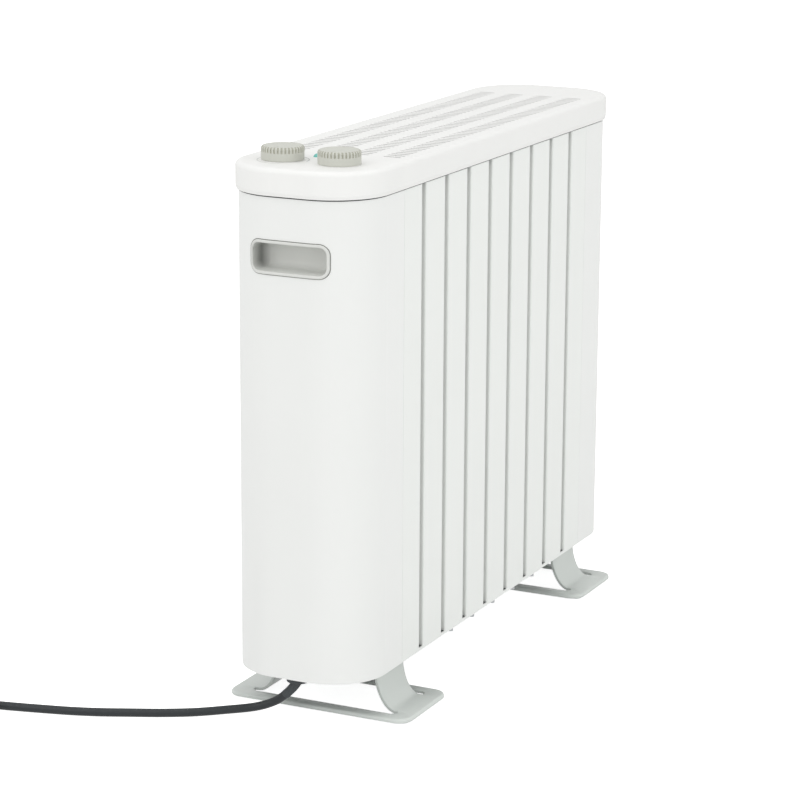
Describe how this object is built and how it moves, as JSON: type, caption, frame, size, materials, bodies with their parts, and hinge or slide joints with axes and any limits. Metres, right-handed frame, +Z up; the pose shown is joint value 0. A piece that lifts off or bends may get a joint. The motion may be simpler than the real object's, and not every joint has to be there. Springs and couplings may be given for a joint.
{
  "type": "oil-free radiator heater",
  "caption": "Slim free-standing oil-free electric radiator: white grooved steel casing, slotted top cover with two control knobs, handle recesses, two pressed feet and a mains lead.",
  "frame": {"origin": "on the floor under the middle of the casing, the bottom centre of the box without the lead", "axes": "+X along the casing away from the knobs, +Y towards the rear panel, +Z up"},
  "size_m": [0.7017, 0.4031, 0.4616],
  "materials": {
    "white_powder_coat": "satin",
    "white_moulding": "satin",
    "grey_moulding": "satin",
    "warm_grey_moulding": "matte",
    "grey_powder_coat": "satin",
    "dark_sheet_steel": "matte",
    "dark_moulding": "matte",
    "zinc_plated_steel": "satin",
    "bare_aluminium": "satin",
    "ceramic_white": "matte",
    "teal_lens": "gloss",
    "neon_lamp": "gloss",
    "grey_rubber": "matte",
    "black_rubber": "matte",
    "grey_cord_sheath": "satin",
    "wire_red": "satin",
    "nickel_pin": "gloss"
  },
  "bodies": {
    "heater": {"near_end_shell": "white_powder_coat", "far_end_shell": "white_powder_coat", "front_panel": "white_powder_coat", "rear_panel": "white_powder_coat", "base_plate": "dark_sheet_steel", "top_frame": "dark_moulding", "top_cover": "white_moulding", "handle_cup_near": "grey_moulding", "handle_cup_far": "grey_moulding", "thermostat": "dark_moulding", "power_switch": "dark_moulding", "bush_nuts": "zinc_plated_steel", "control_bracket": "zinc_plated_steel", "indicator_lens": "teal_lens", "indicator_lamp": "neon_lamp", "foot_near": "grey_powder_coat", "foot_far": "grey_powder_coat", "foot_pads": "grey_rubber", "foot_studs": "zinc_plated_steel", "wing_nuts": "zinc_plated_steel", "heat_shield": "zinc_plated_steel", "heating_element_lower": "bare_aluminium", "heating_element_upper": "bare_aluminium", "element_bracket_near": "zinc_plated_steel", "element_bracket_far": "zinc_plated_steel", "ceramic_bushes": "ceramic_white", "thermal_cutout": "bare_aluminium", "tip_switch_frame": "zinc_plated_steel", "microswitch": "dark_moulding", "terminal_block": "ceramic_white", "cord_clamp": "dark_moulding", "inner_lead": "grey_cord_sheath", "wiring_loom": "wire_red", "panel_screws": "zinc_plated_steel", "frame_screws": "zinc_plated_steel", "cover_screws": "zinc_plated_steel", "cord_gland": "black_rubber", "power_cord": "grey_cord_sheath", "cord_coil": "grey_cord_sheath", "mains_plug": "black_rubber", "plug_pins": "nickel_pin"},
    "thermostat_control": {"thermostat_knob": "warm_grey_moulding", "thermostat_shaft": "bare_aluminium"},
    "power_control": {"power_knob": "warm_grey_moulding", "switch_shaft": "bare_aluminium"},
    "tip_weight": {"tip_pendulum": "dark_moulding"}
  },
  "joints": [
    {"name": "thermostat_knob_turn", "type": "hinge", "parent": "heater", "child": "thermostat_control", "pos_m": [-0.226, 0.02475, 0.451], "axis": [0, 0, -1], "range_deg": [0, 270]},
    {"name": "power_knob_turn", "type": "hinge", "parent": "heater", "child": "power_control", "pos_m": [-0.226, -0.02475, 0.451], "axis": [0, 0, -1], "range_deg": [0, 270]},
    {"name": "tip_pendulum_swing", "type": "hinge", "parent": "heater", "child": "tip_weight", "pos_m": [-0.224, 0.028, 0.0849], "axis": [1, 0, 0], "range_deg": [-25, 25]}
  ]
}
